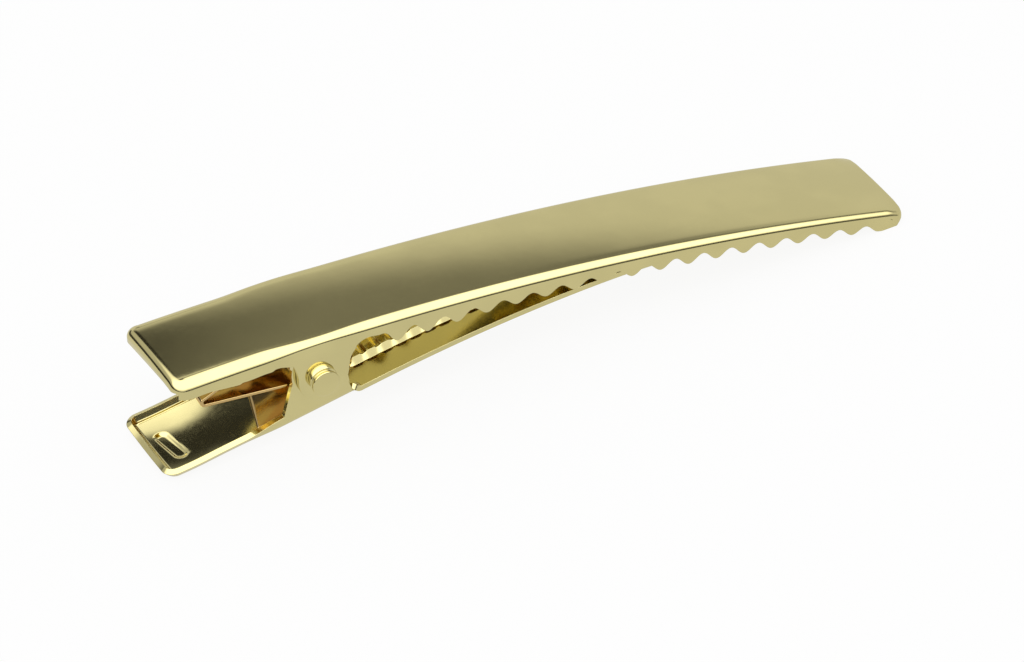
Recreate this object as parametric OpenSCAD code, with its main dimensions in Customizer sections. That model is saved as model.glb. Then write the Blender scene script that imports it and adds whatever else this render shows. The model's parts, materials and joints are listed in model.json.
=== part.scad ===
// Alligator hair clip, pressed from sheet metal: an arched top jaw with toothed
// skirts, a lower jaw that is one strip with its thumb lever, the hinge pin that
// joins them, and the leaf spring that holds the jaws shut.
// Every piece is drawn in the clip's own frame: x runs from the thumb end of the
// top jaw along its chord, z is up, and rest_pose() stands the clip on the end of
// its lever and the tips of its front teeth.

/* [Top jaw] */
// Length of the top jaw along its chord
jaw_l = 55; // [50:0.5:60]
// Width across the outside of the top jaw
jaw_w = 7.9; // [7:0.1:9]
// Rise of the arch above its chord
arch_rise = 1.85; // [1.6:0.05:2.1]
// Thickness of the sheet metal of both jaws
sheet = 0.4; // [0.35:0.01:0.45]
// Outside radius of the bend along every long edge
edge_bend_r = 0.6; // [0.5:0.05:0.7]
// Outside radius of the bend down to the lip at the thumb end
lip_bend_r = 0.9; // [0.7:0.05:1]
// Depth of the skirts beside the thumb, below the top face
thumb_skirt = 1.2; // [1:0.05:1.4]
// How much higher the lip ends than the corners beside it
lip_rise = 0.2; // [0.1:0.05:0.25]
// Corner radius of the thumb end, seen from above
thumb_corner_r = 0.9; // [0.8:0.1:1.5]
// Corner radius of the front end, seen from above
front_corner_r = 0.5; // [0.3:0.1:0.8]
// Width of the slit where the lip meets each skirt
slit_w = 0.14; // [0.1:0.01:0.2]
// How far up the slit runs from the edge of the skirt
slit_h = 0.45; // [0.3:0.05:0.5]

/* [Teeth] */
// Number of teeth along each skirt
tooth_count = 18; // [14:1:18]
// Distance from one tooth to the next
tooth_pitch = 2.18; // [2.1:0.01:2.2]
// Height of a tooth from valley to tip
tooth_h = 0.6; // [0.4:0.05:0.8]
// Depth of the valleys below the top face
valley_depth = 0.98; // [0.9:0.02:1.1]
// Distance from the front end back to the tip of the first tooth
tooth_setback = 2; // [1.8:0.1:2.4]
// Depth of the skirt over the gap between the ears and the last tooth
notch_skirt = 1.25; // [1.1:0.05:1.4]
// Length of the slope from that skirt up to the first valley
notch_slope = 0.4; // [0.2:0.1:0.6]
// Length of the rounded nose where each skirt ends at the front
nose_l = 0.5; // [0.3:0.1:0.8]
// Depth of the skirt at the very front
nose_depth = 0.5; // [0.45:0.05:0.6]
// How much deeper than the valleys the skirt is where the nose begins
nose_drop = 0.1; // [0:0.05:0.2]

/* [Hinge] */
// Distance from the thumb end to the hinge pin
pin_x = 10.45; // [10:0.05:11]
// Depth of the pin's axis below the top face
pin_drop = 2.9; // [2.7:0.05:3.1]
// Radius of the pin's shank
pin_r = 0.9; // [0.7:0.05:1]
// Radius of the upset heads outside the ears
pin_head_r = 1.04; // [1:0.01:1.1]
// How far each head stands out from its ear
pin_head_h = 0.72; // [0.5:0.02:0.9]
// Width of the turned groove in each head
pin_groove_w = 0.14; // [0.1:0.02:0.2]
// Radius of the rounded ears of the top jaw
top_ear_r = 1.98; // [1.8:0.02:2.1]
// Radius of the concave corner between each ear and the skirt ahead of it
ear_fillet_r = 1.1; // [0.8:0.1:1.3]
// Radius of the ears of the lower jaw
low_ear_r = 2.12; // [1.9:0.02:2.2]
// Distance from the pin back to the foot of those ears
low_ear_back = 2.8; // [2.4:0.1:3]
// Radial clearance of the pin in the bores of the lower jaw
pin_clear = 0.05; // [0.03:0.01:0.08]
// Radial gap of the pin in the bores of the top jaw, which hold it
pin_seat = 0.01; // [0.01:0.005:0.02]

/* [Lower jaw] */
// Angle of the lever below the chord of the top jaw
lever_angle = 16.3; // [15.5:0.1:17]
// Height of the pin's axis above the floor of the lever
pin_rise = 2.86; // [2.7:0.02:2.9]
// Distance from the pin back to the thumb end of the lever
lever_reach = 11.9; // [11.4:0.1:12.2]
// Height of the rolled rim round the lever, from the underside
rim_h = 0.6; // [0.5:0.05:0.8]
// Corner radius of the lever, seen from above
lever_corner_r = 1; // [0.8:0.1:1.6]
// Radius of the concave corner between the rim and each ear
rim_fillet_r = 0.5; // [0.3:0.1:0.6]
// Radius of the concave corner between each ear and the arm ahead of it
heel_fillet_r = 0.5; // [0.3:0.1:0.6]
// Bend radius of the arm next to the lever
arm_r = 120; // [115:1:125]
// Bend radius of the arm where it levels out under the top jaw
arm_nose_r = 65; // [60:1:70]
// Angle of the arm where the two bends meet
arm_mid_angle = 8.5; // [8:0.1:9]
// How far the arm stops short of the front end
arm_setback = 0.9; // [0.6:0.1:1.2]
// Gap between the closed arm and the underside of the top jaw
close_gap = 0.06; // [0.04:0.01:0.1]
// Gap between the lower jaw and each skirt of the top jaw
side_gap = 0.08; // [0.06:0.01:0.12]

/* [Grip rib] */
// Width of the raised rib along the arm, at its foot
rib_w = 2.8; // [2.4:0.1:3.2]
// Height of the rib above the arm
rib_h = 0.5; // [0.3:0.05:0.6]
// Width of each steep flank of the rib
rib_flank = 0.27; // [0.2:0.01:0.35]
// Length of the rib along the arm
rib_l = 16; // [12:0.5:16]
// Distance from the heel of the jaw to the start of the rib
rib_start = 0.3; // [0.2:0.1:1]
// Distance between the serrations across the rib
serration_pitch = 1.09; // [1:0.01:1.2]
// Depth of the serrations
serration_h = 0.14; // [0.1:0.02:0.16]

/* [Thumb mark] */
// Length of the oblong mark pressed into the lever
mark_l = 3.2; // [2.6:0.1:3.4]
// Width of the mark
mark_w = 0.8; // [0.6:0.1:1]
// Depth of the mark
mark_h = 0.1; // [0.06:0.02:0.12]
// Distance from the end of the lever to the middle of the mark
mark_x = 1.65; // [1.5:0.05:1.9]

/* [Spring] */
// Thickness of the spring leaf
leaf = 0.25; // [0.2:0.01:0.3]
// Width of the spring leaf
leaf_w = 5.4; // [5:0.1:5.6]
// Distance from the thumb end to the tip of the upper leg
leaf_tip_x = 2.4; // [2:0.1:3]
// Length of the lower leg behind the pin
leaf_low_l = 3.7; // [3.4:0.1:4]
// Gap between the leaf's legs and the jaws that they press on
leaf_gap = 0.04; // [0.03:0.01:0.06]
// Room left over the bend of the leaf
leaf_room = 0.45; // [0.35:0.05:0.6]

/* [Hidden] */
$fn = 48;
plate_color = [0.93, 0.84, 0.58];
spring_color = [0.78, 0.7, 0.5];
inner_bend_r = edge_bend_r - sheet;
// The arch of the top jaw: a circle through both ends of the chord
arch_r = (jaw_l * jaw_l / 4 + arch_rise * arch_rise) / (2 * arch_rise);
arch_c = [jaw_l / 2, arch_rise - arch_r];
function arch_z(x, r = arch_r) = arch_c.y + sqrt(r * r - pow(x - arch_c.x, 2));
// Past the ends of the jaws, for cuts and blocks that are trimmed afterwards
spare = 2;
tall = 12;
// How far stretches of one strip reach into each other
lap = 0.05;
// The pin
pin_c = [pin_x, arch_z(pin_x) - pin_drop];
// Point at an angle from upright on a circle, in the plane of x and z
function on_circle(c, r, a) = c + r * [sin(a), cos(a)];
// Upper face of the lower jaw: a stretch along the arch, a tight bend, a gentle
// bend and the straight lever, each tangent to the next
low_r = arch_r - sheet - close_gap;
tip_a = asin((jaw_l - arm_setback - arch_c.x) / low_r);
// Directions along and square to the lever; the first stretch ends at the angle
// that leaves the floor of the lever pin_rise under the pin
along = [cos(lever_angle), sin(lever_angle)];
across = [-sin(lever_angle), cos(lever_angle)];
bends = (arm_nose_r - arm_r) * cos(lever_angle - arm_mid_angle) + arm_r;
flat_a = acos(((pin_c - arch_c) * across - pin_rise - bends) / (low_r - arm_nose_r)) - lever_angle;
nose_c = on_circle(arch_c, low_r - arm_nose_r, flat_a);
arm_c = on_circle(nose_c, arm_nose_r - arm_r, -arm_mid_angle);
heel = on_circle(arm_c, arm_r, -lever_angle);
low_w = jaw_w - 2 * sheet - 2 * side_gap;
// The pin seen from the heel, and the straight strip behind the heel
pin_l = [(pin_c - heel) * along, pin_rise];
lever_l = lever_reach - pin_l.x;
function lever_point(p) = heel + p.x * along + p.y * across;
// The leaf spring: a bend round the pin between two straight legs
leaf_low = leaf_gap + leaf / 2;
roof = (arch_z(pin_x) - sheet - pin_c.y) * cos(lever_angle) + pin_l.y;
leaf_r = (roof - leaf_room - leaf / 2 - leaf_low) / 2;
leaf_c = lever_point([pin_l.x, leaf_low + leaf_r]);
leaf_tip = [leaf_tip_x, arch_z(leaf_tip_x) - sheet - leaf_gap - leaf / 2];
leaf_d = leaf_c - leaf_tip;
leaf_a = atan2(leaf_d.y, leaf_d.x) + asin(leaf_r / norm(leaf_d));
leaf_top_l = sqrt(leaf_d * leaf_d - leaf_r * leaf_r);
// How the clip stands: a line from the last tooth's tip that touches the bend
// under the end of the lever becomes the ground
tooth_tip = [jaw_l - tooth_setback, arch_z(jaw_l - tooth_setback) - valley_depth - tooth_h];
end_bend = lever_point([edge_bend_r - lever_l, edge_bend_r - sheet]);
stand = tooth_tip - end_bend;
rest_tilt = atan2(stand.y, stand.x) + asin(edge_bend_r / norm(stand));
function rested(p) =
    [p.x * cos(rest_tilt) + p.y * sin(rest_tilt), p.y * cos(rest_tilt) - p.x * sin(rest_tilt)];
rest_left = rested(lever_point([-lever_l, rim_h - sheet])).x;
rest_right = rested([jaw_l, arch_z(jaw_l)]).x;
rest_floor = rested(end_bend).y - edge_bend_r;

// Moves a piece from the clip's frame to where it stands: origin under the middle
module rest_pose() {
    translate([-(rest_left + rest_right) / 2, 0, -rest_floor]) rotate([0, rest_tilt, 0]) children();
}

// Moves a piece drawn from the heel along the lever to the clip's frame
module at_lever() {
    translate([heel.x, 0, heel.y]) rotate([0, -lever_angle, 0]) children();
}

// A side view, drawn in x and z, made solid across the whole width
module across_width(w = 2 * jaw_w) {
    translate([0, w / 2, 0]) rotate([90, 0, 0]) linear_extrude(w) children();
}

// A plan, drawn as seen from above, made solid through the whole height
module through() {
    translate([0, 0, -tall]) linear_extrude(2 * tall) children();
}

// A hole of radius r across the whole width, at p in the side view
module bore(p, r) {
    translate([p.x, 0, p.y]) rotate([90, 0, 0]) cylinder(h = 2 * jaw_w, r = r, center = true);
}

// Section of a slab of width w and height h whose two upper corners are round
module rounded_section(w, h, r) {
    translate([0, -w / 2]) square([h - r, w]);
    translate([0, r - w / 2]) square([h, w - 2 * r]);
    for (side = [-1, 1]) translate([h - r, side * (w / 2 - r)]) circle(r);
}

// A section, drawn as radius and width, bent along a circle from angle a to angle b
module bent(c, a, b) {
    translate([c.x, 0, c.y]) rotate([90, 0, 0]) rotate([0, 0, 90 - b])
        rotate_extrude(angle = b - a, $fn = 720) children();
}

// The solid under an arch of radius r: width w, upper edges rounded by bend_r
module arch_block(w, r, bend_r) {
    reach = asin((jaw_l / 2 + spare) / r);
    bent(arch_c, -reach, reach) translate([r - tall, 0]) rounded_section(w, tall, bend_r);
}

// Outline with round corners of its own at each end, seen from above
module plan(x0, x1, w, r0, r1) {
    difference() {
        translate([x0, -w / 2]) square([x1 - x0, w]);
        for (side = [-1, 1]) {
            if (r0 > 0) plan_corner([x0, side * w / 2], [1, -side], r0);
            if (r1 > 0) plan_corner([x1, side * w / 2], [-1, -side], r1);
        }
    }
}

// What a round corner of radius r leaves over at the corner p of a square
module plan_corner(p, inward, r) {
    difference() {
        translate([p.x + min(0, inward.x) * r, p.y + min(0, inward.y) * r]) square(r);
        translate(p + r * inward) circle(r);
    }
}

// Depth of the toothed skirt: a cosine wave, with its last tip at the setback
function tooth_depth(x) =
    valley_depth + tooth_h * (1 + cos(360 * (jaw_l - tooth_setback - x) / tooth_pitch)) / 2;

// Lower edge of the skirt from the thumb end to the front end
tooth_steps = 12;
wave_x0 = jaw_l - tooth_setback - (tooth_count - 0.5) * tooth_pitch;
function below(x, depth) = [x, arch_z(x) - depth];
function nose_edge(t) = nose_depth + (valley_depth + nose_drop - nose_depth) * sqrt(t);
skirt_edge = concat(
    [for (x = [-spare, pin_x]) below(x, thumb_skirt)],
    [for (x = [pin_x, (pin_x + wave_x0) / 2, wave_x0 - notch_slope]) below(x, notch_skirt)],
    [for (i = [0:(tooth_count - 0.3) * tooth_steps])
        let (x = wave_x0 + i * tooth_pitch / tooth_steps) below(x, tooth_depth(x))],
    [for (t = [1:-0.2:0]) below(jaw_l - t * nose_l, nose_edge(t))]);

// Side view of the top jaw: the skirt band with its teeth, and the ear round the pin
module top_side() {
    polygon(concat(skirt_edge, [[jaw_l, arch_rise + spare], [-spare, arch_rise + spare]]));
    translate(pin_c) circle(top_ear_r);
    translate([pin_c.x - top_ear_r, pin_c.y]) square([2 * top_ear_r, pin_drop]);
    ear_front = pin_c.x + top_ear_r;
    skirt_z = arch_z(ear_front) - notch_skirt;
    difference() {
        translate([ear_front - lap, skirt_z - ear_fillet_r]) square(ear_fillet_r + lap);
        translate([ear_front + ear_fillet_r, skirt_z - ear_fillet_r]) circle(ear_fillet_r);
    }
}

// What the bend of radius r at the thumb end trims off, its outer face at x0 and
// its top on a circle of radius top_r about the centre of the arch
module thumb_trim(x0, r, top_r) {
    c = [x0 + r, arch_z(x0 + r, top_r) - r];
    difference() {
        translate([x0 - spare, c.y]) square([spare + r, r + spare]);
        translate(c) circle(r);
    }
    translate([x0 - spare, c.y - tall]) square([spare, tall + lap]);
}

module top_jaw() {
    color(plate_color) rest_pose() difference() {
        intersection() {
            arch_block(jaw_w, arch_r, edge_bend_r);
            across_width() difference() {
                top_side();
                thumb_trim(0, lip_bend_r, arch_r);
            }
            through() plan(0, jaw_l, jaw_w, thumb_corner_r, front_corner_r);
        }
        across_width(jaw_w - 2 * thumb_corner_r) translate([-lap, -thumb_skirt - tall])
            square([thumb_corner_r, tall + lip_rise]);
        difference() {
            intersection() {
                arch_block(jaw_w - 2 * sheet, arch_r - sheet, inner_bend_r);
                through() plan(sheet, jaw_l + spare, jaw_w - 2 * sheet, thumb_corner_r - sheet, 0);
            }
            across_width() thumb_trim(sheet, lip_bend_r - sheet, arch_r - sheet);
        }
        bore(pin_c, pin_r + pin_seat);
        for (side = [-1, 1]) {
            translate([thumb_corner_r, side * jaw_w / 2, -thumb_skirt - spare]) rotate([0, 0, side * 45])
                translate([-slit_w / 2, -spare / 2, 0]) cube([slit_w, spare, spare + slit_h]);
        }
    }
}

// Side view of the lever, drawn from the heel: the rim, the ear and its foot
module lever_side() {
    foot_x = pin_l.x - low_ear_back;
    rim_x = foot_x - rim_fillet_r;
    foot_z = rim_h - sheet + rim_fillet_r;
    translate([-lever_l - spare, -sheet]) square([lever_l + spare + rim_x, rim_h]);
    difference() {
        translate([rim_x - lap, -sheet]) square([rim_fillet_r + 2 * lap, rim_h + rim_fillet_r]);
        translate([rim_x - lap, foot_z]) circle(rim_fillet_r);
    }
    polygon([[foot_x, -sheet], [foot_x, foot_z], pin_l - [low_ear_r, 0], pin_l, [pin_l.x, -sheet]]);
    translate(pin_l) circle(low_ear_r);
    translate([pin_l.x - lap, -sheet]) square([low_ear_r + lap, pin_l.y + sheet]);
    ear_front = pin_l.x + low_ear_r;
    difference() {
        translate([ear_front - lap, -sheet]) square([heel_fillet_r + lap, sheet + heel_fillet_r]);
        translate([ear_front + heel_fillet_r, heel_fillet_r]) circle(heel_fillet_r);
    }
}

// The bend of radius r at the thumb end of the lever: what it trims off below it
module lever_trim(x0, z0, r) {
    difference() {
        translate([x0 - spare, z0 - spare]) square([spare + r, spare + r]);
        translate([x0 + r, z0 + r]) circle(r);
    }
    translate([x0 - spare, z0 + r - lap]) square([spare, tall]);
}

// A slab along the lever with its lower edges rounded by r, from x0 to x1 and up from z0
module lever_block(x0, x1, z0, w, r) {
    translate([x0, 0, z0 + tall]) rotate([0, 90, 0]) linear_extrude(x1 - x0) rounded_section(w, tall, r);
}

// The straight half of the lower jaw: lever, rim and ears
module lever() {
    ears_end = pin_l.x + low_ear_r + heel_fillet_r;
    difference() {
        intersection() {
            lever_block(-lever_l - spare, ears_end, -sheet, low_w, edge_bend_r);
            across_width() difference() {
                lever_side();
                lever_trim(-lever_l, -sheet, edge_bend_r);
            }
            through() plan(-lever_l, spare, low_w, lever_corner_r, 0);
        }
        difference() {
            intersection() {
                lever_block(-lever_l, spare, 0, low_w - 2 * sheet, inner_bend_r);
                through() plan(sheet - lever_l, spare, low_w - 2 * sheet, lever_corner_r - sheet, 0);
            }
            across_width() lever_trim(sheet - lever_l, 0, inner_bend_r);
        }
        mark(0, mark_h);
        bore(pin_l, pin_r + pin_clear);
    }
    mark(-sheet, mark_h);
    translate([ears_end - lap, -low_w / 2, -sheet]) cube([lap - ears_end, low_w, sheet]);
}

// The oblong mark across the lever: a recess above and a bump below
module mark(z, h) {
    half = mark_l / 2 - mark_w / 2;
    translate([mark_x - lever_l, 0, z - h]) linear_extrude(h + lap) {
        square([mark_w, 2 * half], center = true);
        for (side = [-1, 1]) translate([0, side * half]) circle(mark_w / 2);
    }
}

// The arm: flat strip bent along its three circles, with a rib along the first of them
module arm() {
    intersection() {
        union() {
            arm_bend(arch_c, low_r, flat_a, tip_a);
            arm_bend(nose_c, arm_nose_r, -arm_mid_angle, flat_a);
            arm_bend(arm_c, arm_r, -lever_angle, -arm_mid_angle);
        }
        through() plan(heel.x - spare, jaw_l - arm_setback, low_w, 0, front_corner_r);
    }
}

// One stretch of the arm under radius r, from angle a to angle b and a lap before it
module arm_bend(c, r, a, b) {
    bent(c, a - lap / r * 180 / PI, b) translate([r - sheet, -low_w / 2]) square([sheet, low_w]);
}

// The grip rib: a low flat-topped ridge, pressed up from below and cut across by serrations
function arc_angle(length) = length / arm_r * 180 / PI;
rib_a0 = -lever_angle + arc_angle(rib_start);
rib_a1 = min(rib_a0 + arc_angle(rib_l), -arm_mid_angle);
module rib_section(w, h) {
    top_w = w - 2 * rib_flank;
    polygon([[arm_r - lap, -w / 2], [arm_r + h, -top_w / 2], [arm_r + h, top_w / 2], [arm_r - lap, w / 2]]);
}

module grip_rib() {
    difference() {
        bent(arm_c, rib_a0, rib_a1) rib_section(rib_w, rib_h);
        step = arc_angle(serration_pitch);
        for (a = [rib_a0 + step : step : rib_a1 - step / 2]) {
            translate([arm_c.x, 0, arm_c.y]) rotate([0, a, 0]) translate([0, 0, arm_r + rib_h])
                across_width(2 * rib_w) rotate(45) square(serration_h * sqrt(2), center = true);
        }
    }
}

module lower_jaw() {
    color(plate_color) rest_pose() {
        at_lever() lever();
        arm();
        grip_rib();
    }
}

// One upset head of the pin, from the ear outwards
module pin_head() {
    collar = (pin_head_h - pin_groove_w) / 2;
    cylinder(h = collar, r = pin_head_r);
    cylinder(h = pin_head_h, r = pin_r);
    translate([0, 0, collar + pin_groove_w]) {
        cylinder(h = collar / 2, r = pin_head_r);
        translate([0, 0, collar / 2]) cylinder(h = collar / 2, r1 = pin_head_r, r2 = pin_head_r - collar / 2);
    }
}

module hinge_pin() {
    color(plate_color) rest_pose() translate([pin_c.x, 0, pin_c.y]) rotate([90, 0, 0]) {
        cylinder(h = jaw_w, r = pin_r, center = true);
        for (end = [0, 1]) mirror([0, 0, end]) translate([0, 0, jaw_w / 2]) pin_head();
    }
}

// Side view of the leaf: the upper leg, the bend in front of the pin and the lower leg
module leaf_side() {
    translate(leaf_tip) rotate(leaf_a) translate([0, -leaf / 2]) square([leaf_top_l, leaf]);
    difference() {
        translate(leaf_c) circle(leaf_r + leaf / 2);
        translate(leaf_c) circle(leaf_r - leaf / 2);
        translate(leaf_c - [lap, 0])
            polygon([[0, 0], tall * [-sin(leaf_a), cos(leaf_a)], -tall * [1, 0], -tall * across]);
    }
    translate(leaf_c - leaf_r * across) rotate(lever_angle)
        translate([-leaf_low_l, -leaf / 2]) square([leaf_low_l, leaf]);
}

module leaf_spring() {
    color(spring_color) rest_pose() across_width(leaf_w) leaf_side();
}

top_jaw();
lower_jaw();
hinge_pin();
leaf_spring();
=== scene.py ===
import json
import math

import bmesh
import bpy
import numpy as np
from mathutils import Matrix


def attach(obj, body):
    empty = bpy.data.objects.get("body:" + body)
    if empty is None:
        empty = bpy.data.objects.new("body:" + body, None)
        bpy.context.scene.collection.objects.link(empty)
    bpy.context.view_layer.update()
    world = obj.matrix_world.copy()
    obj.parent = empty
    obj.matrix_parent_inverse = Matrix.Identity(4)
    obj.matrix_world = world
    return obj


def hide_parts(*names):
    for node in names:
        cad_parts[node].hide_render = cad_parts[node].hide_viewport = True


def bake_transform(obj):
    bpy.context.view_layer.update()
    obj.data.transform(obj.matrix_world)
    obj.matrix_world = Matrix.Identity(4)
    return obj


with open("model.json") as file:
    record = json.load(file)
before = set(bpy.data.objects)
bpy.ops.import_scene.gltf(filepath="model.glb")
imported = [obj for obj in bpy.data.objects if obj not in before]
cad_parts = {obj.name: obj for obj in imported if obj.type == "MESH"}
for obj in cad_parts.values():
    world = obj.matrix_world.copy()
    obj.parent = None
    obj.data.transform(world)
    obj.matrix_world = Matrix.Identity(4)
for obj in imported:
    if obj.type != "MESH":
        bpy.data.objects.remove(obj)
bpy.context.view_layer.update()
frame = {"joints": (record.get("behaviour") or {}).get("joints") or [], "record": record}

mm = 0.001

# ---- Top jaw ------------------------------------------------------------------------------
# The arched upper jaw of the clip, pressed from one strip of 0.4 mm steel and plated pale gold.
# Its long edges and its thumb end are bent down; the skirts are cut into teeth, and the ear on
# each side is pierced for the hinge pin.
jaw_l = 55 * mm
jaw_w = 7.9 * mm
arch_rise = 1.85 * mm
arch_r = (jaw_l ** 2 / 4 + arch_rise ** 2) / (2 * arch_rise)
sheet = 0.4 * mm
# The face is slightly crowned across, with a softer shoulder just before the bend
crown_r, crown_h = 60 * mm, 0.05 * mm
shoulder_w = 0.5 * mm
shoulder_slope = 0.05
bend_tail, bend_middle, bend_front, bend_lip = 0.84 * mm, 0.66 * mm, 0.48 * mm, 0.6 * mm
thumb_corner_r = 0.92 * mm
front_corner_r = 0.45 * mm
corner_roll, roll_l, roll_past, roll_y = 0.14 * mm, 1.3 * mm, 0.2 * mm, 2.4 * mm
pin_x = 10.45 * mm
pin_drop = 2.9 * mm
pin_r = 0.9 * mm
tooth_pitch = 2.18 * mm
tooth_setback = 2 * mm
cut_edge, cut_angle = 0.03 * mm, math.radians(50)
joined, rounding = 0.002 * mm, 1e-9
thumb_skew, skew_full, skew_fade = 0.055, 1.5 * mm, 6 * mm


def arch_z(x):
    """Height over the chord: a circle through both ends of the chord that rises by arch_rise."""
    return arch_rise - arch_r + np.sqrt(arch_r ** 2 - (x - jaw_l / 2) ** 2)


def step(x, start, end):
    """0 before start, 1 after end, and the smooth cubic 3t^2 - 2t^3 between them."""
    t = np.clip((x - start) / (end - start), 0, 1)
    return t * t * (3 - 2 * t)


# The pieces are drawn with x along the chord of the top jaw. The clip lies tipped forward by
# tilt, which follows from the face under the lever, about a pin whose place the joint gives
lever_angle = math.radians(16.3)
hinge = frame["joints"][0]["pos_m"]
pad = next(m for m in frame["record"]["mounts"] if m["name"] == "lever_pad")
tilt = lever_angle - math.asin(pad["axis"][0])
pin_z = float(arch_z(pin_x)) - pin_drop


def stand(points):
    """Turns points by tilt about the pin's axis and puts the pin where the joint is."""
    x, z = points[..., 0] - pin_x, points[..., 2] - pin_z
    return np.stack([hinge[0] + x * math.cos(tilt) + z * math.sin(tilt), points[..., 1],
                     hinge[2] + z * math.cos(tilt) - x * math.sin(tilt)], axis=-1)


def skewed(points, end):
    """The thumb end of both jaws is cut a little askew: x falls with y, less so further in."""
    lean = thumb_skew * (1 - step(points[..., 0], end + skew_full, end + skew_full + skew_fade))
    return points + np.stack([-lean * points[..., 1], 0 * lean, 0 * lean], axis=-1)


class Sheet:
    """One face of a pressed sheet, put together from grids that meet along their edges."""

    def __init__(self):
        self.points, self.quads, self.count = [], [], 0

    def patch(self, grid, keep=None, loop=False):
        """Quads between the neighbours of a grid of points; keep says which of them stay."""
        rows, columns = grid.shape[:2]
        index = self.count + np.arange(rows * columns).reshape(rows, columns)
        if loop:
            index = np.concatenate([index, index[:, :1]], axis=1)
        quads = np.stack([index[:-1, :-1], index[:-1, 1:], index[1:, 1:], index[1:, :-1]], axis=-1)
        self.quads.append(quads.reshape(-1, 4) if keep is None else quads[keep])
        self.points.append(grid.reshape(-1, 3))
        self.count += rows * columns

    def both(self, grid, keep=None, loop=False):
        """The same patch on both sides of the clip's middle plane."""
        self.patch(grid, keep, loop)
        self.patch(grid * [1, -1, 1], keep, loop)

    def piece(self, name, thickness=None):
        """Joins the grids and turns the broad face up. A thickness goes below that face; without
        one the grids are the closed skin of a solid piece."""
        mesh = bpy.data.meshes.new(name)
        points = stand(np.concatenate(self.points))
        mesh.from_pydata(points.tolist(), [], np.concatenate(self.quads).tolist())
        shape = bmesh.new()
        shape.from_mesh(mesh)
        bmesh.ops.remove_doubles(shape, verts=shape.verts, dist=joined)
        bmesh.ops.delete(shape, geom=[v for v in shape.verts if not v.link_faces], context="VERTS")
        bmesh.ops.recalc_face_normals(shape, faces=shape.faces)
        # The turn is meant for a sheet. On a closed skin the sum is next to nothing, so rounding
        # settles it, and the leaf spring's skin comes out facing inwards.
        if sum(f.normal.z * f.calc_area() for f in shape.faces) < 0:
            bmesh.ops.reverse_faces(shape, faces=shape.faces)
        shape.to_mesh(mesh)
        shape.free()
        mesh.shade_smooth()
        made = bpy.data.objects.new(name, mesh)
        bpy.context.scene.collection.objects.link(made)
        if thickness is None:
            return made
        wall = made.modifiers.new("sheet", "SOLIDIFY")
        wall.thickness, wall.offset = thickness, -1
        wall.use_even_offset = wall.use_quality_normals = True
        edge = made.modifiers.new("cut edge", "BEVEL")
        edge.width, edge.segments, edge.limit_method = cut_edge, 2, "ANGLE"
        edge.angle_limit = cut_angle
        edge.use_clamp_overlap, edge.harden_normals = False, True
        return made


def slope_along(height, x, y, out):
    """How steeply a face falls away in the direction out, as an angle."""
    reach = 0.001 * mm
    before = height(x - reach * out[0], y - reach * out[1])
    after = height(x + reach * out[0], y + reach * out[1])
    return np.arctan((before - after) / (2 * reach))


def bent_edge(x, y, z, out, slope, turn, radius, wall, up=-1, bend_steps=10, wall_steps=2):
    """A bend and the straight wall after it, carried along the edge of a face: an arc from the
    slope of the face to the angle turn, then a straight length. Rows run to the free edge."""
    slope, turn, radius, wall = (value + 0 * x for value in (slope, turn, radius, wall))
    angle = slope + (turn - slope) * np.linspace(0, 1, bend_steps + 1)[:, None]
    reach = radius * (np.sin(angle) - np.sin(slope))
    drop = radius * (np.cos(slope) - np.cos(angle))
    share = np.linspace(0, 1, wall_steps + 1)[1:, None]
    reach = np.vstack([reach, reach[-1] + share * wall * np.cos(turn)])
    drop = np.vstack([drop, drop[-1] + share * wall * np.sin(turn)])
    return np.stack([x + reach * out[0], y + reach * out[1], z + up * drop], axis=-1)


def ring(x, z, y, centre, bore_r, steps=8):
    """A flat ear: straight lines from every point of its outline towards the middle of the bore."""
    outline = np.stack([x, z], axis=-1)
    spoke = outline - centre
    inner = centre + bore_r * spoke / np.linalg.norm(spoke, axis=-1, keepdims=True)
    share = np.linspace(0, 1, steps + 1)[:, None, None]
    flat = inner + share * (outline - inner)
    return np.stack([flat[..., 0], np.full(flat.shape[:2], y), flat[..., 1]], axis=-1)


half_w = jaw_w / 2
dip_h, dip_w = 0.14 * mm, 2.1 * mm


def bend_r(x):
    """Outside radius of the long bends: widest at the thumb end, tight at the front, and drawn
    in beside the ears by a bell-shaped dip."""
    r = bend_tail + (bend_middle - bend_tail) * step(x, 6 * mm, 9 * mm)
    r = r + (bend_front - bend_middle) * step(x, 22 * mm, jaw_l)
    return r - dip_h * np.exp(-((x - pin_x) / dip_w) ** 2)


def jaw_half(x):
    """Half the width at x, with the front corners rounded."""
    past = np.clip(x - (jaw_l - front_corner_r), 0, front_corner_r)
    return half_w - front_corner_r + np.sqrt(front_corner_r ** 2 - past ** 2)


def jaw_face(x, y):
    """The arch less a shallow parabola across, a shoulder whose slope grows smoothly to
    shoulder_slope before the bend, and a roll that takes the front corners down a little."""
    t = np.clip((abs(y) - (half_w - bend_r(x) - shoulder_w)) / shoulder_w, 0, 1)
    shoulder = shoulder_slope * shoulder_w * (t ** 3 - t ** 4 / 2)
    roll = corner_roll * step(x, jaw_l - roll_l, jaw_l + roll_past) * step(abs(y), roll_y, half_w)
    return arch_z(x) + crown_h - y ** 2 / (2 * crown_r) - shoulder - roll


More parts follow.
